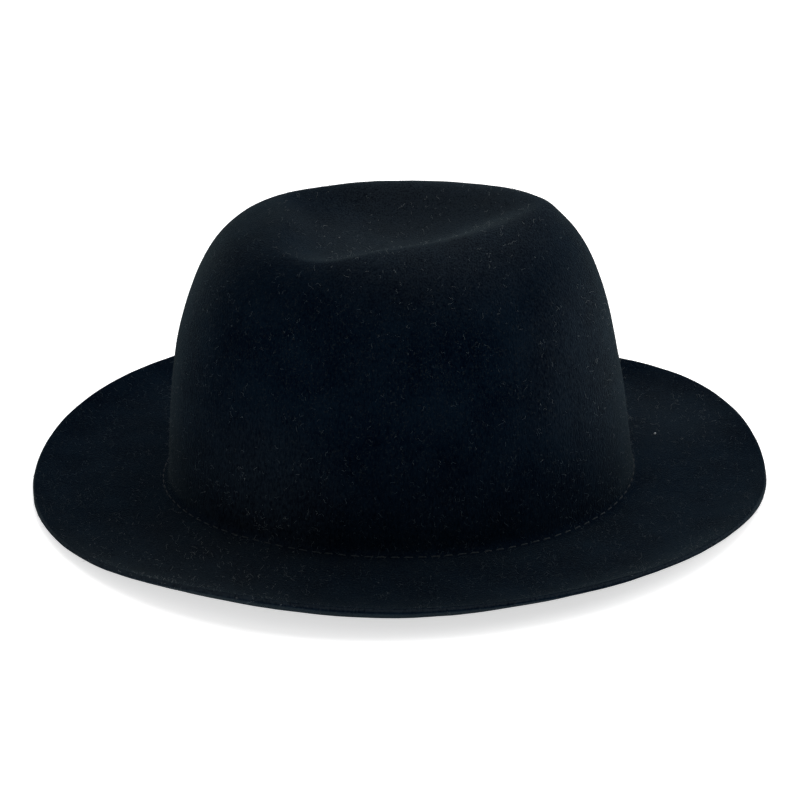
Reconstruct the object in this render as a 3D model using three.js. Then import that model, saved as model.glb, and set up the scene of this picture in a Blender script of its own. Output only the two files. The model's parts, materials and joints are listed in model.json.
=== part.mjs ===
// A felt hat: crown and brim in one piece of felt, with a lengthwise teardrop crease in the crown.
// Millimetres, +Z up. +X is the front of the hat, +Y the wearer's left. The hat stands on its brim.
import * as THREE from "three";
import { ParametricGeometry } from "three/addons/geometries/ParametricGeometry.js";
import { mergeVertices } from "three/addons/utils/BufferGeometryUtils.js";

// Head oval, measured outside on the fold between crown and brim
const headLength = 212;
const headWidth = 176;
const ovalSetback = 2.2; // how far the widest place of the oval lies behind its middle
const foldLift = 3.6; // the fold's sides above its ends
const foldRise = 4; // how far up the wall the rounding of the fold starts
const foldReach = 5; // how far out on the brim it ends

// Brim
const brimWidth = 59;
const edgeLift = 9; // the sides of the brim's edge above the fold's ends
const curlHeight = 9; // how far the edge curls up over a level brim
const curlPower = 6.3; // a higher power keeps the curl closer to the edge
const brimThickness = 2.8;

// Crown and its crease
const crownHeight = 126; // from the fold's ends to the crest at the sides
const creaseLength = 111;
const creaseWidth = 82;
const creaseForward = 5.5; // the crease's middle, in front of the oval's
const creaseDepth = 13; // from the crest at the sides to the lowest place
const creaseFloor = -6; // where along the hat the lowest place lies
const crownThickness = 2.4;

const pressedFlat = 0.6; // how much of the underside is pressed flat where the hat stands
const columns = 72; // steps round the hat

// Shares of the sizes above, a row for each place round the brim. The rows are evenly spaced: turn only
// says where each lies, in degrees from the front.
const brimRows = [
  { turn: 0, width: 0.995, lift: 0.03, curl: 0.36, fold: 0.02 },
  { turn: 30, width: 1.07, lift: 0.56, curl: 0.55, fold: 0.29 },
  { turn: 60, width: 0.998, lift: 0.42, curl: 0.75, fold: 0.78 },
  { turn: 90, width: 0.996, lift: 0.95, curl: 1.026, fold: 1.02 },
  { turn: 120, width: 1.013, lift: 1, curl: 0.914, fold: 0.8 },
  { turn: 150, width: 1.042, lift: 0.7, curl: 0.72, fold: 0.27 },
  { turn: 180, width: 1.027, lift: 0.06, curl: 0.37, fold: 0.05 },
  { turn: 210, width: 1.011, lift: 0.223, curl: 0.656, fold: 0.47 },
  { turn: 240, width: 0.997, lift: 0.99, curl: 1.268, fold: 0.91 },
  { turn: 270, width: 1, lift: 0.94, curl: 1.287, fold: 0.75 },
  { turn: 300, width: 0.987, lift: 0.91, curl: 0.912, fold: 0.5 },
  { turn: 330, width: 0.972, lift: 0.554, curl: 0.524, fold: 0.19 },
];

// The crest round the crease: along and across are shares of half its length and width, height a
// share of the crown's. The rows are evenly spaced too, and the right half mirrors the left.
const crestRows = [
  { turn: 0, along: 1, across: 0, height: 1.039 },
  { turn: 30, along: 0.74, across: 0.49, height: 1.03 },
  { turn: 60, along: 0.267, across: 0.83, height: 1.011 },
  { turn: 90, along: -0.263, across: 1, height: 0.995 },
  { turn: 120, along: -0.7, across: 1.07, height: 0.969 },
  { turn: 150, along: -1, across: 0.78, height: 0.973 },
  { turn: 180, along: -1, across: 0, height: 0.992 },
];

// The crown's wall from the fold up to the crest: how far it has come in, at the front, back and
// sides, as a share of the way from the fold to the crest.
const wallRows = [
  { height: 0, front: 0, back: 0, side: 0 },
  { height: 0.15, front: 0.055, back: 0.012, side: 0.03 },
  { height: 0.35, front: 0.13, back: 0.045, side: 0.085 },
  { height: 0.55, front: 0.237, back: 0.105, side: 0.165 },
  { height: 0.72, front: 0.362, back: 0.218, side: 0.291 },
  { height: 0.86, front: 0.545, back: 0.366, side: 0.455 },
  { height: 0.95, front: 0.752, back: 0.576, side: 0.696 },
  { height: 0.989, front: 0.875, back: 0.85, side: 0.879 },
  { height: 1, front: 1, back: 1, side: 1 },
];

// The crease from its lowest place out to the crest, at even steps: how low it lies towards the
// front, the back and the sides, as a share of the way from the crest down to the lowest place.
const creaseRows = [
  { front: 1, back: 1, side: 1 },
  { front: 0.98, back: 0.995, side: 0.985 },
  { front: 0.92, back: 0.985, side: 0.94 },
  { front: 0.82, back: 0.965, side: 0.87 },
  { front: 0.68, back: 0.93, side: 0.76 },
  { front: 0.5, back: 0.85, side: 0.58 },
  { front: 0.31, back: 0.66, side: 0.35 },
  { front: 0.13, back: 0.3, side: 0.12 },
  { front: 0, back: 0, side: 0 },
];

// The skin from the middle of the crease to the brim's edge. Place 0 to 1 is the crease, 1 to 2 the
// crown's wall from the crest down, 2 to 3 the brim.
const crest = 1;
const fold = 2;
const edge = 3;
const wallFoldStart = fold - (foldRise / (crownHeight * wallRows[1].height)) / (wallRows.length - 1);
const brimFoldEnd = fold + foldReach / brimWidth;
const sections = [
  { start: 0, end: crest, steps: 9 },
  { start: crest, end: wallFoldStart, steps: 15 },
  { start: wallFoldStart, end: brimFoldEnd, steps: 4 },
  { start: brimFoldEnd, end: edge, steps: 9 },
];
const edgeAngles = [48, 0, -48]; // rows over the rounded edge, in degrees from its middle

// A smooth value between four neighbours, at share t between the middle two
function smoothBetween(before, from, to, after, t) {
  const leaving = (to - before) / 2;
  const arriving = (after - from) / 2;
  const bend = 2 * from - 2 * to + leaving + arriving;
  const pull = -3 * from + 3 * to - 2 * leaving - arriving;
  return ((bend * t + pull) * t + leaving) * t + from;
}

// A column of a table that closes on itself, at a turn from 0 to 1
function valueAround(rows, column, turn) {
  const place = THREE.MathUtils.euclideanModulo(turn, 1) * rows.length;
  const index = Math.floor(place);
  const pick = (step) => rows[(index + step + rows.length) % rows.length][column];
  return smoothBetween(pick(-1), pick(0), pick(1), pick(2), place - index);
}

// A column of a table that runs from one end to the other, at a share from 0 to 1. Past each end the
// column goes on in a straight line.
function valueAlong(rows, column, share) {
  const last = rows.length - 1;
  const place = THREE.MathUtils.clamp(share, 0, 1) * last;
  const index = Math.min(Math.floor(place), last - 1);
  const pick = (step) => {
    const row = index + step;
    if (row < 0) return 2 * rows[0][column] - rows[1][column];
    if (row > last) return 2 * rows[last][column] - rows[last - 1][column];
    return rows[row][column];
  };
  return smoothBetween(pick(-1), pick(0), pick(1), pick(2), place - index);
}

// A table's front, back and side columns, blended by which way the place at this turn faces
function valueFacing(rows, share, turn) {
  const facing = Math.cos(turn * 2 * Math.PI);
  const end = valueAlong(rows, facing > 0 ? "front" : "back", share);
  return THREE.MathUtils.lerp(valueAlong(rows, "side", share), end, facing ** 2);
}

// The crest's table carried round the other half of the hat
const crestRound = [
  ...crestRows,
  ...crestRows.slice(1, -1).reverse().map((row) => ({ ...row, across: -row.across })),
];

// The fold, the crest and the edge of the brim, each at a turn from 0 to 1
function foldPoint(turn) {
  const angle = turn * 2 * Math.PI;
  const x = (headLength / 2) * Math.cos(angle) - ovalSetback * Math.sin(angle) ** 2;
  const y = (headWidth / 2) * Math.sin(angle);
  return new THREE.Vector3(x, y, foldLift * valueAround(brimRows, "fold", turn));
}

function crestPoint(turn) {
  const x = creaseForward + (creaseLength / 2) * valueAround(crestRound, "along", turn);
  const y = (creaseWidth / 2) * valueAround(crestRound, "across", turn);
  return new THREE.Vector3(x, y, crownHeight * valueAround(crestRound, "height", turn));
}

function edgePoint(turn) {
  const step = 0.001;
  const along = foldPoint(turn + step).sub(foldPoint(turn - step));
  const outward = new THREE.Vector3(along.y, -along.x, 0).normalize();
  const point = foldPoint(turn).addScaledVector(outward, brimWidth * valueAround(brimRows, "width", turn));
  point.z = edgeLift * valueAround(brimRows, "lift", turn);
  return point;
}

function creasePoint(turn, share) {
  const floor = new THREE.Vector3(creaseFloor, 0, crownHeight - creaseDepth);
  const top = crestPoint(turn);
  const point = floor.clone().lerp(top, share);
  point.z = THREE.MathUtils.lerp(top.z, floor.z, valueFacing(creaseRows, share, turn));
  return point;
}

function wallPoint(turn, climb) {
  const foot = foldPoint(turn);
  const top = crestPoint(turn);
  const point = foot.clone().lerp(top, valueFacing(wallRows, climb, turn));
  point.z = THREE.MathUtils.lerp(foot.z, top.z, valueAlong(wallRows, "height", climb));
  return point;
}

function brimPoint(turn, out) {
  const root = foldPoint(turn);
  const rim = edgePoint(turn);
  const curl = curlHeight * valueAround(brimRows, "curl", turn);
  const point = root.clone().lerp(rim, out);
  point.z = root.z + (rim.z - root.z - curl) * out + curl * out ** curlPower;
  return point;
}

// The outer skin: the crease, the wall, the rounded fold and the brim
function skinPoint(turn, place) {
  if (place <= crest) return creasePoint(turn, place);
  if (place < wallFoldStart) return wallPoint(turn, fold - place);
  if (place > brimFoldEnd) return brimPoint(turn, place - fold);
  const t = (place - wallFoldStart) / (brimFoldEnd - wallFoldStart);
  const wall = wallPoint(turn, fold - wallFoldStart).multiplyScalar((1 - t) ** 2);
  const corner = foldPoint(turn).multiplyScalar(2 * t * (1 - t));
  const brim = brimPoint(turn, brimFoldEnd - fold).multiplyScalar(t ** 2);
  return wall.add(corner).add(brim);
}

// Unit vectors out of the skin and along it towards the edge
function skinDirections(turn, place) {
  const step = 0.004;
  const start = Math.max(place - step, 0);
  const end = Math.min(place + step, edge);
  const along = skinPoint(turn, end).sub(skinPoint(turn, start)).normalize();
  const around = skinPoint(turn + step, place).sub(skinPoint(turn - step, place));
  const out = place === 0 ? new THREE.Vector3(0, 0, 1) : along.clone().cross(around).normalize();
  return { out, along };
}

function thicknessAt(place) {
  const share = THREE.MathUtils.smoothstep(place, wallFoldStart, brimFoldEnd);
  return THREE.MathUtils.lerp(crownThickness, brimThickness, share);
}

function liningPoint(turn, place) {
  return skinPoint(turn, place).addScaledVector(skinDirections(turn, place).out, -thicknessAt(place));
}

function roundedEdgePoint(turn, degrees) {
  const { out, along } = skinDirections(turn, edge);
  const angle = THREE.MathUtils.degToRad(degrees);
  const half = brimThickness / 2;
  const point = skinPoint(turn, edge).addScaledVector(out, half * (Math.sin(angle) - 1));
  return point.addScaledVector(along, half * Math.cos(angle));
}

// Rows over the whole felt: the outer skin from the crease's middle to the edge, over the edge, and
// back along the inner skin.
const places = sections.flatMap(({ start, end, steps }) =>
  Array.from({ length: steps }, (_, index) => THREE.MathUtils.lerp(start, end, index / steps)),
);
places.push(edge);
const rows = [
  ...places.map((place) => (turn) => skinPoint(turn, place)),
  ...edgeAngles.map((degrees) => (turn) => roundedEdgePoint(turn, degrees)),
  ...places.toReversed().map((place) => (turn) => liningPoint(turn, place)),
];

// The lowest place of the underside, which sets how high the hat stands
function lowestHeight() {
  let lowest = Infinity;
  for (let column = 0; column < columns; column += 1) {
    for (const place of places) {
      lowest = Math.min(lowest, liningPoint(column / columns, place).z);
    }
  }
  return lowest;
}

function feltGeometry() {
  const raise = -lowestHeight() - pressedFlat;
  const surface = (across, down, target) => {
    const row = Math.round(down * (rows.length - 1));
    const turn = across === 0 ? 0 : 1 - across;
    target.copy(rows[row](turn));
    target.z = Math.max(target.z + raise, 0);
  };
  const grid = new ParametricGeometry(surface, columns, rows.length - 1);
  grid.deleteAttribute("normal");
  grid.deleteAttribute("uv");
  const felt = mergeVertices(grid, 1e-4);
  // The grid's first and last rows are single points, so their triangles with no area come out.
  const index = Array.from(felt.index.array);
  const kept = [];
  for (let i = 0; i < index.length; i += 3) {
    const [a, b, c] = index.slice(i, i + 3);
    if (a !== b && b !== c && c !== a) kept.push(a, b, c);
  }
  felt.setIndex(kept);
  felt.computeBoundingBox();
  const middle = felt.boundingBox.getCenter(new THREE.Vector3());
  felt.translate(-middle.x, -middle.y, 0);
  felt.computeVertexNormals();
  return felt;
}

const blackFelt = new THREE.MeshStandardMaterial({ color: 0x14161c, roughness: 0.95, metalness: 0 });

const hat = new THREE.Group();
const feltBody = new THREE.Mesh(feltGeometry(), blackFelt);
feltBody.name = "felt_body";
hat.add(feltBody);

export default hat;
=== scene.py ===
import bpy
import json
import math
import random
from mathutils import Matrix, Vector
from mathutils.bvhtree import BVHTree

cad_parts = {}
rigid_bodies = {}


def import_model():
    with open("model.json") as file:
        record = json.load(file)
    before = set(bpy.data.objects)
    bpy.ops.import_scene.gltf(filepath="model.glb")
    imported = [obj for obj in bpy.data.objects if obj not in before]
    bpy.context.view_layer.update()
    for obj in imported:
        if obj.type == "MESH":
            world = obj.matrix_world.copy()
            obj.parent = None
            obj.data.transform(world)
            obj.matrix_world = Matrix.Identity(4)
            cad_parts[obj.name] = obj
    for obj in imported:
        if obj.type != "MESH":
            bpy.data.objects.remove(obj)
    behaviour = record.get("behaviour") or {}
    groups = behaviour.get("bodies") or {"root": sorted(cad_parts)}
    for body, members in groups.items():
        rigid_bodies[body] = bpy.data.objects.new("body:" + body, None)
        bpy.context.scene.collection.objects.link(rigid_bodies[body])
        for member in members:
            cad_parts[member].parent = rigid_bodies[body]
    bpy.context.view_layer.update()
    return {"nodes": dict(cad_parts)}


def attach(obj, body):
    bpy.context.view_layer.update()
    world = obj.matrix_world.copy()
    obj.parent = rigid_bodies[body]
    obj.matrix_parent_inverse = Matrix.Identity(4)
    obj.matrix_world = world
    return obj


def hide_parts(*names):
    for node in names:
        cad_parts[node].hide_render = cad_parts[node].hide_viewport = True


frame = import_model()


# small helpers

def activate(item):
    bpy.ops.object.select_all(action="DESELECT")
    item.select_set(True)
    bpy.context.view_layer.objects.active = item


def applyModifier(item, kind, name, **settings):
    activate(item)
    modifier = item.modifiers.new(name, kind)
    for key, value in settings.items():
        setattr(modifier, key, value)
    bpy.ops.object.modifier_apply(modifier=modifier.name)


def selectVertices(item, test):
    # leaves edit mode with exactly the wanted vertices picked
    bpy.ops.mesh.select_mode(type="VERT")
    bpy.ops.mesh.select_all(action="DESELECT")
    bpy.ops.object.mode_set(mode="OBJECT")
    for vertex in item.data.vertices:
        vertex.select = test(vertex)
    bpy.ops.object.mode_set(mode="EDIT")


def addSocket(group, name, direction, kind, start=None):
    socket = group.interface.new_socket(name=name, in_out=direction, socket_type=kind)
    if start is not None:
        socket.default_value = start
    return socket


def addNode(tree, kind, place, **settings):
    node = tree.nodes.new(kind)
    node.location = place
    for key, value in settings.items():
        setattr(node, key, value)
    return node


def setRange(node, given, wanted):
    node.inputs["From Min"].default_value, node.inputs["From Max"].default_value = given
    node.inputs["To Min"].default_value, node.inputs["To Max"].default_value = wanted


# felt body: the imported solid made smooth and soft

felt = {
    "weld": 0.000002,
    "joinAngle": math.radians(60),
    "pickReach": 0.0001,
    "levels": 2,
    "lumpDetail": 2,
    "lumpSize": 0.032,
    "lumpDepth": 0.0007,
    "smallLumpSize": 0.009,
    "smallLumpDepth": 0.00022,
    # where, how far pushed, and how wide
    "dents": [
        ((-0.052, -0.083, 0.062), (0.0, 0.0016, 0.0), 0.030),
        ((-0.010, -0.087, 0.034), (0.0, -0.0010, 0.0), 0.026),
        ((0.046, -0.074, 0.070), (0.0, 0.0012, 0.0), 0.030),
    ],
}


def makeFeltHat(sizes):
    source = frame["nodes"]["felt_body"]
    hat = bpy.data.objects.new("feltHat", source.data.copy())
    bpy.context.scene.collection.objects.link(hat)
    activate(hat)
    if hat.data.has_custom_normals:
        bpy.ops.mesh.customdata_custom_splitnormals_clear()
    bpy.ops.object.mode_set(mode="EDIT")
    bpy.ops.mesh.select_all(action="SELECT")
    bpy.ops.mesh.remove_doubles(threshold=sizes["weld"])
    bpy.ops.mesh.tris_convert_to_quads(
        face_threshold=sizes["joinAngle"],
        shape_threshold=sizes["joinAngle"],
    )
    bpy.ops.mesh.normals_make_consistent(inside=False)
    for centre, push, reach in sizes["dents"]:
        nearest = min(hat.data.vertices, key=lambda vertex: (vertex.co - Vector(centre)).length)
        spot = nearest.co.copy()
        selectVertices(hat, lambda vertex: (vertex.co - spot).length < sizes["pickReach"])
        bpy.ops.transform.translate(
            value=push,
            use_proportional_edit=True,
            proportional_edit_falloff="SMOOTH",
            proportional_size=reach,
        )
    bpy.ops.object.mode_set(mode="OBJECT")
    levels = sizes["levels"]
    applyModifier(hat, "SUBSURF", "roundFelt", levels=levels, render_levels=levels)
    for name, size, depth in [
        ("softLumps", sizes["lumpSize"], sizes["lumpDepth"]),
        ("smallLumps", sizes["smallLumpSize"], sizes["smallLumpDepth"]),
    ]:
        lumps = bpy.data.textures.new(name, "CLOUDS")
        lumps.noise_scale = size
        lumps.noise_depth = sizes["lumpDetail"]
        applyModifier(hat, "DISPLACE", name, texture=lumps, strength=depth, mid_level=0.5)
    # what now hangs below the surface that the hat stands on is pressed level with it
    bpy.ops.object.mode_set(mode="EDIT")
    selectVertices(hat, lambda vertex: vertex.co.z < 0)
    bpy.ops.transform.resize(value=(1, 1, 0), center_override=(0, 0, 0))
    bpy.ops.object.mode_set(mode="OBJECT")
    bpy.ops.object.shade_smooth()
    hat.data.materials.clear()
    return hat


# the lip lies outside this oval and below this height, and gets a painted highlight where it faces
# out and up
lip = {
    "halfLength": 0.155,
    "halfWidth": 0.135,
    "top": 0.035,
    "facingOut": (0.15, 0.5),
    "facingUp": (0.2, 0.5),
}


def paintLipHighlight(hat, sizes):
    # how strong a painted highlight each point of the brim's upper lip gets, kept as an attribute
    # for the material
    def ramp(value, ends):
        return min(max((value - ends[0]) / (ends[1] - ends[0]), 0), 1)

    highlightAttribute = hat.data.attributes.new("paintedLipHighlight", "FLOAT", "POINT")
    for vertex in hat.data.vertices:
        x, y, z = vertex.co
        fromMiddle = (x / sizes["halfLength"]) ** 2 + (y / sizes["halfWidth"]) ** 2
        if fromMiddle < 1 or z > sizes["top"]:
            continue
        outward = Vector((x, y, 0)).normalized().dot(vertex.normal)
        facingOut = ramp(outward, sizes["facingOut"])
        facingUp = ramp(vertex.normal.z, sizes["facingUp"])
        highlightAttribute.data[vertex.index].value = facingOut * facingUp


feltHat = makeFeltHat(felt)
paintLipHighlight(feltHat, lip)
print("felt hat", len(feltHat.data.polygons), "faces")


# stitches along the break line: one two-ply stitch, copied round the oval

thread = {
    "ovalLength": 0.2140,
    "ovalWidth": 0.1808,
    "setback": -0.0006,
    "count": 107,
    "stitchLength": 0.0046,
    "plyRadius": 0.00017,
    "twist": math.radians(70),
    "steps": 6,
    "sides": 5,
    "plySpacing": 0.9,
    "bow": 0.00040,
    "sink": 0.00020,
    "diveStart": 0.8,
    "diveSlope": 5,
    "castHeight": 0.03,
    "aheadAngle": 0.02,
    "wobble": 0.05,
    "stretchRange": (0.9, 1.08),
    "seed": 11,
}


def makeStitch(sizes):
    bpy.ops.object.select_all(action="DESELECT")
    step = sizes["stitchLength"] / sizes["steps"]
    bpy.ops.mesh.primitive_circle_add(
        vertices=sizes["sides"],
        radius=sizes["plyRadius"],
        fill_type="NGON",
        location=(-sizes["stitchLength"] / 2, sizes["plyRadius"] * sizes["plySpacing"], 0),
        rotation=(0, math.pi / 2, 0),
    )
    stitch = bpy.context.object
    stitch.name = "stitch"
    bpy.ops.object.transform_apply(location=True, rotation=True, scale=True)
    bpy.ops.object.mode_set(mode="EDIT")
    bpy.ops.mesh.select_all(action="SELECT")
    for number in range(sizes["steps"]):
        bpy.ops.mesh.extrude_region_move(TRANSFORM_OT_translate={"value": (step, 0, 0)})
        bpy.ops.transform.rotate(value=sizes["twist"], orient_axis="X", center_override=(0, 0, 0))
    bpy.ops.mesh.select_all(action="SELECT")
    bpy.ops.mesh.normals_make_consistent(inside=False)
    bpy.ops.mesh.duplicate()
    bpy.ops.transform.rotate(value=math.pi, orient_axis="X", center_override=(0, 0, 0))
    bpy.ops.object.mode_set(mode="OBJECT")
    # the dash bows up off the felt and both ends dive into it
    half = sizes["stitchLength"] / 2
    for vertex in stitch.data.vertices:
        along = abs(vertex.co.x) / half
        dive = sizes["bow"] * max(0, along - sizes["diveStart"]) * sizes["diveSlope"]
        vertex.co.z += sizes["bow"] * (1 - along ** 2) - sizes["sink"] - dive
    bpy.ops.object.shade_smooth()
    return stitch


def ovalPoint(sizes, angle):
    x = sizes["setback"] + sizes["ovalLength"] / 2 * math.cos(angle)
    y = sizes["ovalWidth"] / 2 * math.sin(angle)
    return Vector((x, y, 0))


def ovalAngles(sizes):
    # even steps by length, not by angle
    fineSteps = 2000
    angles = [2 * math.pi * index / fineSteps for index in range(fineSteps + 1)]
    points = [ovalPoint(sizes, angle) for angle in angles]
    run = [0]
    for before, after in zip(points, points[1:]):
        run.append(run[-1] + (after - before).length)
    wanted = [number * run[-1] / sizes["count"] for number in range(sizes["count"])]
    found = []
    index = 0
    for target in wanted:
        while run[index + 1] < target:
            index += 1
        found.append(angles[index])
    return found


def makeStitchRow(sizes, hat):
    tree = BVHTree.FromObject(hat, bpy.context.evaluated_depsgraph_get())
    stitch = makeStitch(sizes)
    chance = random.Random(sizes["seed"])
    wobble = sizes["wobble"]
    copies = []
    for angle in ovalAngles(sizes):
        here = ovalPoint(sizes, angle)
        ahead = ovalPoint(sizes, angle + sizes["aheadAngle"])
        start = here + Vector((0, 0, sizes["castHeight"]))
        hit, normal, _, _ = tree.ray_cast(start, Vector((0, 0, -1)))
        along = (ahead - here).normalized()
        along = (along - normal * along.dot(normal)).normalized()
        side = normal.cross(along)
        turn = Matrix((along, side, normal)).transposed()
        turn = turn @ Matrix.Rotation(chance.uniform(-wobble, wobble), 3, "Z")
        copy = bpy.data.objects.new("stitchCopy", stitch.data.copy())
        bpy.context.scene.collection.objects.link(copy)
        stretch = Matrix.Diagonal((chance.uniform(*sizes["stretchRange"]), 1, 1, 1))
        copy.matrix_world = Matrix.Translation(hit) @ turn.to_4x4() @ stretch
        copies.append(copy)
    bpy.data.objects.remove(stitch)
    activate(copies[0])
    for copy in copies:
        copy.select_set(True)
    bpy.ops.object.join()
    row = bpy.context.object
    row.name = "stitchRow"
    bpy.ops.object.transform_apply(location=True, rotation=True, scale=True)
    return row


stitchRow = makeStitchRow(thread, feltHat)
print("stitch row", len(stitchRow.data.polygons), "faces")


# one pale crumb of lint on the brim

speck = {
    "place": (0.119, 0.036),
    "radius": 0.00055,
    "subdivisions": 2,
    "lift": 0.7,
    "roughness": 0.3,
    "seed": 3,
    "castHeight": 0.08,
}


def makeSpeck(sizes, hat):
    tree = BVHTree.FromObject(hat, bpy.context.evaluated_depsgraph_get())
    start = Vector((*sizes["place"], sizes["castHeight"]))
    spot, normal, _, _ = tree.ray_cast(start, Vector((0, 0, -1)))
    bpy.ops.object.select_all(action="DESELECT")
    bpy.ops.mesh.primitive_ico_sphere_add(
        subdivisions=sizes["subdivisions"],
        radius=sizes["radius"],
        location=spot + normal * sizes["radius"] * sizes["lift"],
    )
    crumb = bpy.context.object
    crumb.name = "paleSpeck"
    bpy.ops.object.transform_apply(location=True, rotation=True, scale=True)
    bpy.ops.object.mode_set(mode="EDIT")
    bpy.ops.mesh.select_all(action="SELECT")
    bpy.ops.transform.vertex_random(
        offset=sizes["radius"] * sizes["roughness"],
        seed=sizes["seed"],
    )
    bpy.ops.object.mode_set(mode="OBJECT")
    bpy.ops.object.shade_smooth()
    return crumb


paleSpeck = makeSpeck(speck, feltHat)


# loose fibres: a short nap that softens the outline, and pale curly lint that clings to it

nap = {
    "name": "napHairs",
    "thickness": 0.00004,
    "length": 0.0011,
    "bends": [(1, 26, 8), (0.8, 30, -12)],
    "taper": 0.6,
    "shapes": 3,
    "perSquareMetre": 92000,
    "sizeRange": (0.5, 1.25),
    "lean": math.radians(62),
    "seed": 5,
    "clumping": 0.0,
    "onBrim": 1.0,
    "onCrown": 1.0,
}
lint = {
    "name": "lintFibres",
    "thickness": 0.000085,
    "length": 0.0026,
    "bends": [(1, 36, 12), (1, -56, 24), (1, 60, -20), (0.9, 48, 28)],
    "taper": 0.95,
    "shapes": 8,
    "perSquareMetre": 42000,
    "sizeRange": (0.3, 1.3),
    "lean": math.radians(88),
    "seed": 9,
    "clumping": 0.85,
    "onBrim": 1.8,
    "onCrown": 0.8,
}
# what both kinds share
scatter = {
    "pitchSpread": (0.5, 1.5),
    "rollSpread": (-1.5, 1.5),
    "seedStep": 100,
    "outwardFrom": 0.3,
    "clumpScale": 60,
    "clumpDetail": 2,
    "clumpRange": (0.35, 0.65),
    "brimTop": 0.018,
    "crownStart": 0.05,
}


def makeFibre(sizes, rules, number):
    # a thin three-sided hair, grown along Z in a few bent steps
    chance = random.Random(rules["seedStep"] * sizes["seed"] + number)
    bpy.ops.object.select_all(action="DESELECT")
    bpy.ops.mesh.primitive_circle_add(
        vertices=3,
        radius=sizes["thickness"] / 2,
        fill_type="NGON",
        location=(0, 0, 0),
        rotation=(0, 0, 0),
    )
    fibre = bpy.context.object
    fibre.name = sizes["name"] + "Shape"
    step = sizes["length"] / len(sizes["bends"])
    heading = Matrix.Identity(3)
    end = Vector((0, 0, 0))
    bpy.ops.object.mode_set(mode="EDIT")
    bpy.ops.mesh.select_all(action="SELECT")
    for reach, pitch, roll in sizes["bends"]:
        pitchTurn = math.radians(pitch * chance.uniform(*rules["pitchSpread"]))
        rollTurn = math.radians(roll * chance.uniform(*rules["rollSpread"]))
        heading = heading @ Matrix.Rotation(pitchTurn, 3, "X") @ Matrix.Rotation(rollTurn, 3, "Y")
        move = heading @ Vector((0, 0, step * reach))
        bpy.ops.mesh.extrude_region_move(TRANSFORM_OT_translate={"value": move})
        end += move
        bpy.ops.transform.rotate(value=-pitchTurn, orient_axis="X", center_override=end)
        bpy.ops.transform.resize(value=(sizes["taper"],) * 3, center_override=end)
    bpy.ops.mesh.select_all(action="SELECT")
    bpy.ops.mesh.normals_make_consistent(inside=False)
    bpy.ops.object.mode_set(mode="OBJECT")
    bpy.ops.object.shade_smooth()
    return fibre


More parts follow.
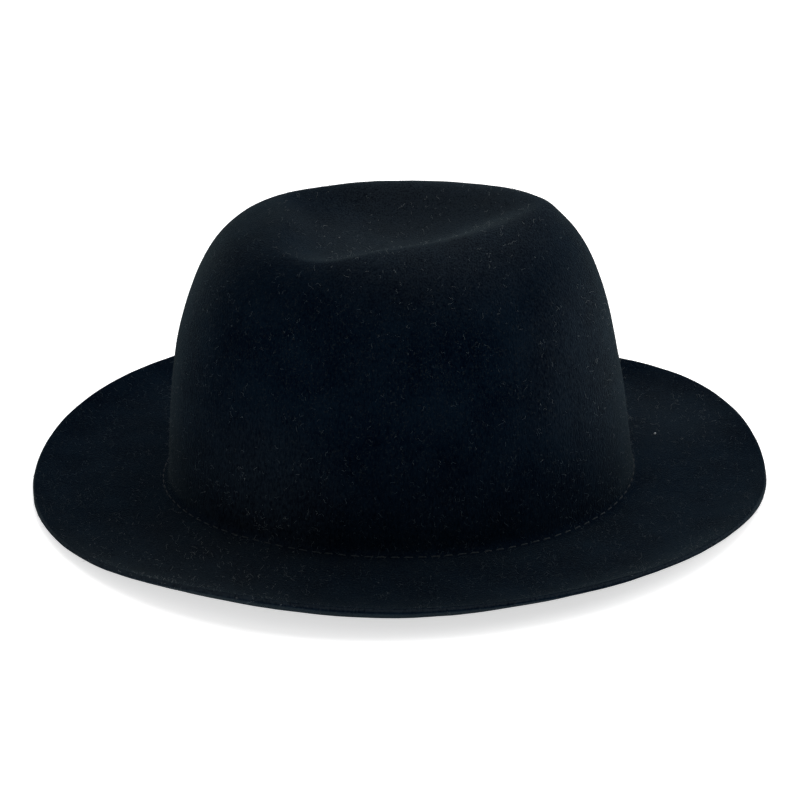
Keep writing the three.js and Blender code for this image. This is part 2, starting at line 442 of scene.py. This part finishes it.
def makeScatterGroup(sizes, rules, shapes):
    # scatters the shapes over the outer skin, which faces away from a point low under the hat:
    # the inside and the underside stay bare
    tree = bpy.data.node_groups.new(sizes["name"] + "Scatter", "GeometryNodeTree")
    addSocket(tree, "Geometry", "INPUT", "NodeSocketGeometry")
    addSocket(tree, "Geometry", "OUTPUT", "NodeSocketGeometry")
    given = addNode(tree, "NodeGroupInput", (-900, 0))
    result = addNode(tree, "NodeGroupOutput", (900, 0))
    place = addNode(tree, "GeometryNodeInputPosition", (-900, -200))
    facing = addNode(tree, "GeometryNodeInputNormal", (-900, -350))
    lower = addNode(tree, "ShaderNodeVectorMath", (-700, -200), operation="ADD")
    lower.inputs[1].default_value = (0, 0, rules["outwardFrom"])
    outward = addNode(tree, "ShaderNodeVectorMath", (-500, -250), operation="DOT_PRODUCT")
    isOuter = addNode(tree, "FunctionNodeCompare", (-300, -250), data_type="FLOAT")
    isOuter.operation = "GREATER_THAN"
    clumps = addNode(tree, "ShaderNodeTexNoise", (-700, 250))
    clumps.inputs["Scale"].default_value = rules["clumpScale"]
    clumps.inputs["Detail"].default_value = rules["clumpDetail"]
    amount = addNode(tree, "ShaderNodeMapRange", (-500, 250))
    fewest = sizes["perSquareMetre"] * (1 - sizes["clumping"])
    most = sizes["perSquareMetre"] * (1 + sizes["clumping"])
    setRange(amount, rules["clumpRange"], (fewest, most))
    split = addNode(tree, "ShaderNodeSeparateXYZ", (-700, 450))
    onBrim = addNode(tree, "ShaderNodeMapRange", (-500, 500))
    heights = (rules["brimTop"], rules["crownStart"])
    setRange(onBrim, heights, (sizes["onBrim"], sizes["onCrown"]))
    density = addNode(tree, "ShaderNodeMath", (-300, 300), operation="MULTIPLY")
    points = addNode(tree, "GeometryNodeDistributePointsOnFaces", (-100, 0))
    points.inputs["Seed"].default_value = sizes["seed"]
    lean = addNode(tree, "FunctionNodeRandomValue", (-100, -300), data_type="FLOAT_VECTOR")
    lean.inputs["Min"].default_value = (-sizes["lean"], -sizes["lean"], 0)
    lean.inputs["Max"].default_value = (sizes["lean"], sizes["lean"], 2 * math.pi)
    lean.inputs["Seed"].default_value = sizes["seed"] + 1
    turn = addNode(tree, "FunctionNodeEulerToRotation", (100, -300))
    rotate = addNode(tree, "FunctionNodeRotateRotation", (300, -200), rotation_space="LOCAL")
    size = addNode(tree, "FunctionNodeRandomValue", (100, -500), data_type="FLOAT")
    size.inputs[2].default_value, size.inputs[3].default_value = sizes["sizeRange"]
    size.inputs["Seed"].default_value = sizes["seed"] + 2
    bundle = addNode(tree, "GeometryNodeCollectionInfo", (300, 200))
    bundle.inputs["Collection"].default_value = shapes
    bundle.inputs["Separate Children"].default_value = True
    bundle.inputs["Reset Children"].default_value = True
    spread = addNode(tree, "GeometryNodeInstanceOnPoints", (500, 0))
    spread.inputs["Pick Instance"].default_value = True
    solid = addNode(tree, "GeometryNodeRealizeInstances", (700, 0))
    link = tree.links.new
    link(place.outputs[0], lower.inputs[0])
    link(lower.outputs[0], outward.inputs[0])
    link(facing.outputs[0], outward.inputs[1])
    link(outward.outputs["Value"], isOuter.inputs[0])
    link(place.outputs[0], clumps.inputs["Vector"])
    link(clumps.outputs["Fac"], amount.inputs["Value"])
    link(given.outputs[0], points.inputs["Mesh"])
    link(isOuter.outputs[0], points.inputs["Selection"])
    link(place.outputs[0], split.inputs[0])
    link(split.outputs["Z"], onBrim.inputs["Value"])
    link(amount.outputs["Result"], density.inputs[0])
    link(onBrim.outputs["Result"], density.inputs[1])
    link(density.outputs[0], points.inputs["Density"])
    link(points.outputs["Rotation"], rotate.inputs["Rotation"])
    link(lean.outputs[0], turn.inputs[0])
    link(turn.outputs[0], rotate.inputs["Rotate By"])
    link(points.outputs["Points"], spread.inputs["Points"])
    link(bundle.outputs[0], spread.inputs["Instance"])
    link(rotate.outputs[0], spread.inputs["Rotation"])
    link(size.outputs[1], spread.inputs["Scale"])
    link(spread.outputs[0], solid.inputs[0])
    link(solid.outputs[0], result.inputs[0])
    return tree


def scatterFibres(sizes, rules, hat):
    shapes = bpy.data.collections.new(sizes["name"] + "Shapes")
    bpy.context.scene.collection.children.link(shapes)
    for number in range(sizes["shapes"]):
        fibre = makeFibre(sizes, rules, number)
        for owner in list(fibre.users_collection):
            owner.objects.unlink(fibre)
        shapes.objects.link(fibre)
    cover = bpy.data.objects.new(sizes["name"], hat.data.copy())
    bpy.context.scene.collection.objects.link(cover)
    applyModifier(cover, "NODES", "scatter", node_group=makeScatterGroup(sizes, rules, shapes))
    cover.data.materials.clear()
    for fibre in list(shapes.objects):
        bpy.data.objects.remove(fibre)
    bpy.data.collections.remove(shapes)
    return cover


napHairs = scatterFibres(nap, scatter, feltHat)
lintFibres = scatterFibres(lint, scatter, feltHat)
print("fibres", len(napHairs.data.polygons), "and", len(lintFibres.data.polygons), "faces")


# looks

napLook = {
    "dark": (0.0001, 0.0012, 0.0044, 1),
    "light": (0.0026, 0.0070, 0.0136, 1),
    "grainScale": 1400.0,
    "grainStretch": (1, 1, 0.35),
    "grainDetail": 3,
    "grainRoughness": 0.6,
    "mottleScale": 45.0,
    "mottleDetail": 4,
    "mottleRoughness": 0.55,
    "grainShare": 0.62,
    "contrast": (0.36, 0.64),
    "roughness": (0.86, 1.0),
}


def makeNapGroup(settings):
    # dark and light hairs in a fine grain, over a broader mottle
    group = bpy.data.node_groups.new("feltNap", "ShaderNodeTree")
    addSocket(group, "Coordinates", "INPUT", "NodeSocketVector")
    addSocket(group, "Dark", "INPUT", "NodeSocketColor", settings["dark"])
    addSocket(group, "Light", "INPUT", "NodeSocketColor", settings["light"])
    addSocket(group, "Grain Scale", "INPUT", "NodeSocketFloat", settings["grainScale"])
    addSocket(group, "Mottle Scale", "INPUT", "NodeSocketFloat", settings["mottleScale"])
    addSocket(group, "Grain Stretch", "INPUT", "NodeSocketVector", settings["grainStretch"])
    addSocket(group, "Color", "OUTPUT", "NodeSocketColor")
    addSocket(group, "Roughness", "OUTPUT", "NodeSocketFloat")
    addSocket(group, "Height", "OUTPUT", "NodeSocketFloat")
    given = addNode(group, "NodeGroupInput", (-900, 0))
    result = addNode(group, "NodeGroupOutput", (900, 0))
    stretch = addNode(group, "ShaderNodeVectorMath", (-700, 100), operation="MULTIPLY")
    grain = addNode(group, "ShaderNodeTexNoise", (-500, 200))
    grain.inputs["Detail"].default_value = settings["grainDetail"]
    grain.inputs["Roughness"].default_value = settings["grainRoughness"]
    mottle = addNode(group, "ShaderNodeTexNoise", (-500, -100))
    mottle.inputs["Detail"].default_value = settings["mottleDetail"]
    mottle.inputs["Roughness"].default_value = settings["mottleRoughness"]
    blend = addNode(group, "ShaderNodeMath", (-250, 100), operation="MULTIPLY_ADD")
    blend.inputs[1].default_value = settings["grainShare"]
    share = addNode(group, "ShaderNodeMath", (-250, -100), operation="MULTIPLY")
    share.inputs[1].default_value = 1 - settings["grainShare"]
    spread = addNode(group, "ShaderNodeMapRange", (0, 100))
    setRange(spread, settings["contrast"], (0, 1))
    tone = addNode(group, "ShaderNodeMix", (300, 100), data_type="RGBA")
    rough = addNode(group, "ShaderNodeMapRange", (300, -150))
    setRange(rough, (0, 1), settings["roughness"])
    link = group.links.new
    link(given.outputs["Coordinates"], stretch.inputs[0])
    link(given.outputs["Grain Stretch"], stretch.inputs[1])
    link(stretch.outputs[0], grain.inputs["Vector"])
    link(given.outputs["Grain Scale"], grain.inputs["Scale"])
    link(given.outputs["Coordinates"], mottle.inputs["Vector"])
    link(given.outputs["Mottle Scale"], mottle.inputs["Scale"])
    link(mottle.outputs["Fac"], share.inputs[0])
    link(grain.outputs["Fac"], blend.inputs[0])
    link(share.outputs[0], blend.inputs[2])
    link(blend.outputs[0], spread.inputs["Value"])
    link(spread.outputs["Result"], tone.inputs["Factor"])
    link(given.outputs["Dark"], tone.inputs[6])
    link(given.outputs["Light"], tone.inputs[7])
    link(spread.outputs["Result"], rough.inputs["Value"])
    link(tone.outputs[2], result.inputs["Color"])
    link(rough.outputs["Result"], result.inputs["Roughness"])
    link(grain.outputs["Fac"], result.inputs["Height"])
    return group


# paler places painted in where sheen and lamp light fall brighter on the felt
paintedLight = {
    # what, its middle, full out to, gone at, and how strong
    "places": [
        ("crown top", (0.010, 0.000, 0.150), 0.026, 0.088, 1.0),
        ("crown front", (0.098, -0.030, 0.078), 0.015, 0.072, 0.45),
        ("low at the back", (-0.066, -0.080, 0.030), 0.008, 0.052, 0.34),
        ("near brim, back", (-0.105, -0.110, 0.010), 0.015, 0.090, 0.48),
        ("near brim, front", (0.115, -0.090, 0.010), 0.010, 0.060, 0.10),
        ("far brim, front", (0.130, 0.060, 0.010), 0.010, 0.055, 0.30),
    ],
}


def makePaintedLightGroup(sizes):
    # a mask of painted light: places made paler where sheen and lamp light fall brighter on the
    # felt
    group = bpy.data.node_groups.new("paintedLightPlaces", "ShaderNodeTree")
    addSocket(group, "Coordinates", "INPUT", "NodeSocketVector")
    addSocket(group, "Amount", "INPUT", "NodeSocketFloat", 1.0)
    addSocket(group, "Mask", "OUTPUT", "NodeSocketFloat")
    given = addNode(group, "NodeGroupInput", (-900, 0))
    result = addNode(group, "NodeGroupOutput", (700, 0))
    total = None
    for number, (name, centre, near, far, weight) in enumerate(sizes["places"]):
        height = -180 * number
        reach = addNode(group, "ShaderNodeVectorMath", (-600, height), label=name)
        reach.operation = "DISTANCE"
        reach.inputs[1].default_value = centre
        fade = addNode(group, "ShaderNodeMapRange", (-400, height))
        fade.interpolation_type = "SMOOTHSTEP"
        setRange(fade, (near, far), (weight, 0))
        group.links.new(given.outputs["Coordinates"], reach.inputs[0])
        group.links.new(reach.outputs["Value"], fade.inputs["Value"])
        if total is None:
            total = fade.outputs["Result"]
            continue
        larger = addNode(group, "ShaderNodeMath", (-150, height), operation="MAXIMUM")
        group.links.new(total, larger.inputs[0])
        group.links.new(fade.outputs["Result"], larger.inputs[1])
        total = larger.outputs[0]
    scaled = addNode(group, "ShaderNodeMath", (400, 0), operation="MULTIPLY")
    group.links.new(total, scaled.inputs[0])
    group.links.new(given.outputs["Amount"], scaled.inputs[1])
    group.links.new(scaled.outputs[0], result.inputs["Mask"])
    return group


fleckLook = {
    "scale": 900.0,
    "detail": 1,
    "distortion": 1.8,
    "threshold": 0.6,
    "softness": 0.12,
}


def makeFleckGroup(settings):
    # short pale flecks of broken fibre, finer than the modelled lint
    group = bpy.data.node_groups.new("fibreFlecks", "ShaderNodeTree")
    addSocket(group, "Coordinates", "INPUT", "NodeSocketVector")
    addSocket(group, "Scale", "INPUT", "NodeSocketFloat", settings["scale"])
    addSocket(group, "Threshold", "INPUT", "NodeSocketFloat", settings["threshold"])
    addSocket(group, "Mask", "OUTPUT", "NodeSocketFloat")
    given = addNode(group, "NodeGroupInput", (-700, 0))
    result = addNode(group, "NodeGroupOutput", (500, 0))
    grain = addNode(group, "ShaderNodeTexNoise", (-450, 0))
    grain.inputs["Detail"].default_value = settings["detail"]
    grain.inputs["Distortion"].default_value = settings["distortion"]
    top = addNode(group, "ShaderNodeMath", (-200, -150), operation="ADD")
    top.inputs[1].default_value = settings["softness"]
    mask = addNode(group, "ShaderNodeMapRange", (0, 0))
    group.links.new(given.outputs["Coordinates"], grain.inputs["Vector"])
    group.links.new(given.outputs["Scale"], grain.inputs["Scale"])
    group.links.new(given.outputs["Threshold"], top.inputs[0])
    group.links.new(grain.outputs["Fac"], mask.inputs["Value"])
    group.links.new(given.outputs["Threshold"], mask.inputs["From Min"])
    group.links.new(top.outputs[0], mask.inputs["From Max"])
    group.links.new(mask.outputs["Result"], result.inputs["Mask"])
    return group


feltLook = {
    "specular": 0.0,
    "sheenWeight": 0.066,
    "sheenRoughness": 0.35,
    "sheenTint": (0.74, 0.97, 1.0, 1),
    "bumpStrength": 0.9,
    "bumpDistance": 0.0005,
    # the grey added for the painted lip highlight and the painted sheen
    "greyed": (0.0100, 0.0118, 0.0126, 1),
    "grainContrast": (0.36, 0.64),
    "greyedInGrain": (0.25, 1.75),
    "flecks": (0.0105, 0.0140, 0.0175, 1),
}


def makeFeltMaterial(settings, napNodes, paintedLightNodes, fleckNodes):
    material = bpy.data.materials.new("blueBlackFelt")
    material.use_nodes = True
    tree = material.node_tree
    shader = tree.nodes["Principled BSDF"]
    shader.inputs["Specular IOR Level"].default_value = settings["specular"]
    shader.inputs["Sheen Weight"].default_value = settings["sheenWeight"]
    shader.inputs["Sheen Roughness"].default_value = settings["sheenRoughness"]
    shader.inputs["Sheen Tint"].default_value = settings["sheenTint"]
    place = addNode(tree, "ShaderNodeTexCoord", (-900, 0))
    look = addNode(tree, "ShaderNodeGroup", (-600, 0), node_tree=napNodes)
    bump = addNode(tree, "ShaderNodeBump", (-300, -200))
    bump.inputs["Strength"].default_value = settings["bumpStrength"]
    bump.inputs["Distance"].default_value = settings["bumpDistance"]
    paintedLightNode = addNode(tree, "ShaderNodeGroup", (-600, 350), node_tree=paintedLightNodes)
    fleckMask = addNode(tree, "ShaderNodeGroup", (-600, 600), node_tree=fleckNodes)
    # greyed by painted light: a painted highlight on the lip and painted sheen in the listed
    # places, most on the raised grain of the nap
    paintedLipHighlight = addNode(tree, "ShaderNodeAttribute", (-850, 700), attribute_name="paintedLipHighlight")
    paintedLightTotal = addNode(tree, "ShaderNodeMath", (-650, 520), operation="ADD")
    grainy = addNode(tree, "ShaderNodeMapRange", (-850, 350))
    setRange(grainy, settings["grainContrast"], settings["greyedInGrain"])
    strength = addNode(tree, "ShaderNodeMath", (-450, 480), operation="MULTIPLY")
    greyed = addNode(tree, "ShaderNodeMix", (-350, 300), data_type="RGBA", blend_type="ADD")
    greyed.inputs[7].default_value = settings["greyed"]
    flecked = addNode(tree, "ShaderNodeMix", (-150, 300), data_type="RGBA")
    flecked.inputs[7].default_value = settings["flecks"]
    link = tree.links.new
    link(place.outputs["Object"], look.inputs["Coordinates"])
    link(place.outputs["Object"], paintedLightNode.inputs["Coordinates"])
    link(place.outputs["Object"], fleckMask.inputs["Coordinates"])
    link(paintedLipHighlight.outputs["Fac"], paintedLightTotal.inputs[0])
    link(paintedLightNode.outputs["Mask"], paintedLightTotal.inputs[1])
    link(look.outputs["Height"], grainy.inputs["Value"])
    link(paintedLightTotal.outputs[0], strength.inputs[0])
    link(grainy.outputs["Result"], strength.inputs[1])
    link(strength.outputs[0], greyed.inputs["Factor"])
    link(look.outputs["Color"], greyed.inputs[6])
    link(greyed.outputs[2], flecked.inputs[6])
    link(fleckMask.outputs["Mask"], flecked.inputs["Factor"])
    link(flecked.outputs[2], shader.inputs["Base Color"])
    link(look.outputs["Roughness"], shader.inputs["Roughness"])
    link(look.outputs["Height"], bump.inputs["Height"])
    link(bump.outputs["Normal"], shader.inputs["Normal"])
    return material


plainLooks = {
    "darkThread": {"color": (0.0125, 0.018, 0.023, 1), "roughness": 0.7, "sheen": 0.04},
    "darkHair": {"color": (0.004, 0.007, 0.011, 1), "roughness": 0.8, "sheen": 0.05},
    "paleLint": {"color": (0.042, 0.056, 0.066, 1), "roughness": 0.8, "sheen": 0.06},
    "paleCrumb": {"color": (0.35, 0.38, 0.4, 1), "roughness": 0.8, "sheen": 0},
    "paleGround": {"color": (0.93, 0.93, 0.93, 1), "roughness": 0.9, "sheen": 0},
}
plainSpecular = 0.2


def makePlainMaterial(name):
    settings = plainLooks[name]
    material = bpy.data.materials.new(name)
    material.use_nodes = True
    shader = material.node_tree.nodes["Principled BSDF"]
    shader.inputs["Base Color"].default_value = settings["color"]
    shader.inputs["Roughness"].default_value = settings["roughness"]
    shader.inputs["Specular IOR Level"].default_value = plainSpecular
    shader.inputs["Sheen Weight"].default_value = settings["sheen"]
    return material


# the paler colour that lint takes as painted light where the felt gets painted sheen
lintLook = {
    "paintedLitLint": (0.200, 0.225, 0.235, 1),
    "paintedLightAmount": 1.6,
}


def makeLintMaterial(settings, paintedLightNodes):
    # paler, as painted light, where the felt below has painted light too
    material = makePlainMaterial("paleLint")
    tree = material.node_tree
    place = addNode(tree, "ShaderNodeTexCoord", (-800, 0))
    mask = addNode(tree, "ShaderNodeGroup", (-600, 0), node_tree=paintedLightNodes)
    mask.inputs["Amount"].default_value = settings["paintedLightAmount"]
    tone = addNode(tree, "ShaderNodeMix", (-300, 0), data_type="RGBA")
    tone.inputs[6].default_value = plainLooks["paleLint"]["color"]
    tone.inputs[7].default_value = settings["paintedLitLint"]
    tree.links.new(place.outputs["Object"], mask.inputs["Coordinates"])
    tree.links.new(mask.outputs["Mask"], tone.inputs["Factor"])
    tree.links.new(tone.outputs[2], tree.nodes["Principled BSDF"].inputs["Base Color"])
    return material


napGroup = makeNapGroup(napLook)
paintedLightGroup = makePaintedLightGroup(paintedLight)
fleckGroup = makeFleckGroup(fleckLook)
feltHat.data.materials.append(makeFeltMaterial(feltLook, napGroup, paintedLightGroup, fleckGroup))
stitchRow.data.materials.append(makePlainMaterial("darkThread"))
napHairs.data.materials.append(makePlainMaterial("darkHair"))
lintFibres.data.materials.append(makeLintMaterial(lintLook, paintedLightGroup))
paleSpeck.data.materials.append(makePlainMaterial("paleCrumb"))
print("looks set")


# what stands for what

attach(feltHat, "root")
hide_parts("felt_body")
for piece in [stitchRow, napHairs, lintFibres, paleSpeck]:
    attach(piece, "root")


# floor, light and camera

stage = {
    "floorSize": 14,
    "glowColor": (1, 1, 1, 1),
    "floorGlow": 0.62,
    "worldColor": (1, 1, 1, 1),
    "worldStrength": 0.40,
    # name, place, size, power and what it points at
    "lights": [
        ("topLight", (0.35, 1.05, 1.75), 2.2, 31, (0, 0.1, 0)),
        ("rightLight", (1.7, 0.3, 0.9), 1.1, 11, (0.05, 0, 0.06)),
        ("leftLight", (-1.6, -0.5, 0.9), 1.0, 1.0, (-0.05, 0, 0.05)),
    ],
    "eyeDistance": 1.520,
    "eyeElevation": math.radians(24.85),
    "target": (0.0005, 0, 0.0400),
    "roll": math.radians(0.64),
    "lens": 151.47,
    "sensor": 36,
}


def makeFloor(settings):
    bpy.ops.object.select_all(action="DESELECT")
    bpy.ops.mesh.primitive_plane_add(size=settings["floorSize"], location=(0, 0, 0))
    floor = bpy.context.object
    floor.name = "paleFloor"
    ground = makePlainMaterial("paleGround")
    shader = ground.node_tree.nodes["Principled BSDF"]
    shader.inputs["Emission Color"].default_value = settings["glowColor"]
    shader.inputs["Emission Strength"].default_value = settings["floorGlow"]
    floor.data.materials.append(ground)


def makeLights(settings):
    world = bpy.data.worlds.new("whiteRoom")
    world.use_nodes = True
    background = world.node_tree.nodes["Background"]
    background.inputs["Color"].default_value = settings["worldColor"]
    background.inputs["Strength"].default_value = settings["worldStrength"]
    bpy.context.scene.world = world
    for name, place, size, power, target in settings["lights"]:
        bpy.ops.object.light_add(type="AREA", location=place)
        light = bpy.context.object
        light.name = name
        light.data.size = size
        light.data.energy = power
        light.rotation_euler = (Vector(target) - Vector(place)).to_track_quat("-Z", "Y").to_euler()


def makeCamera(settings):
    target = Vector(settings["target"])
    angle = settings["eyeElevation"]
    arm = Vector((0, -math.cos(angle), math.sin(angle))) * settings["eyeDistance"]
    bpy.ops.object.camera_add(location=target + arm)
    camera = bpy.context.object
    camera.name = "photoCamera"
    camera.rotation_euler = (-arm).to_track_quat("-Z", "Y").to_euler()
    camera.rotation_euler.rotate_axis("Z", -settings["roll"])
    camera.data.sensor_width = settings["sensor"]
    camera.data.lens = settings["lens"]
    bpy.context.scene.camera = camera


makeFloor(stage)
makeLights(stage)
makeCamera(stage)
bpy.context.scene.view_settings.view_transform = "Standard"
print("stage set")
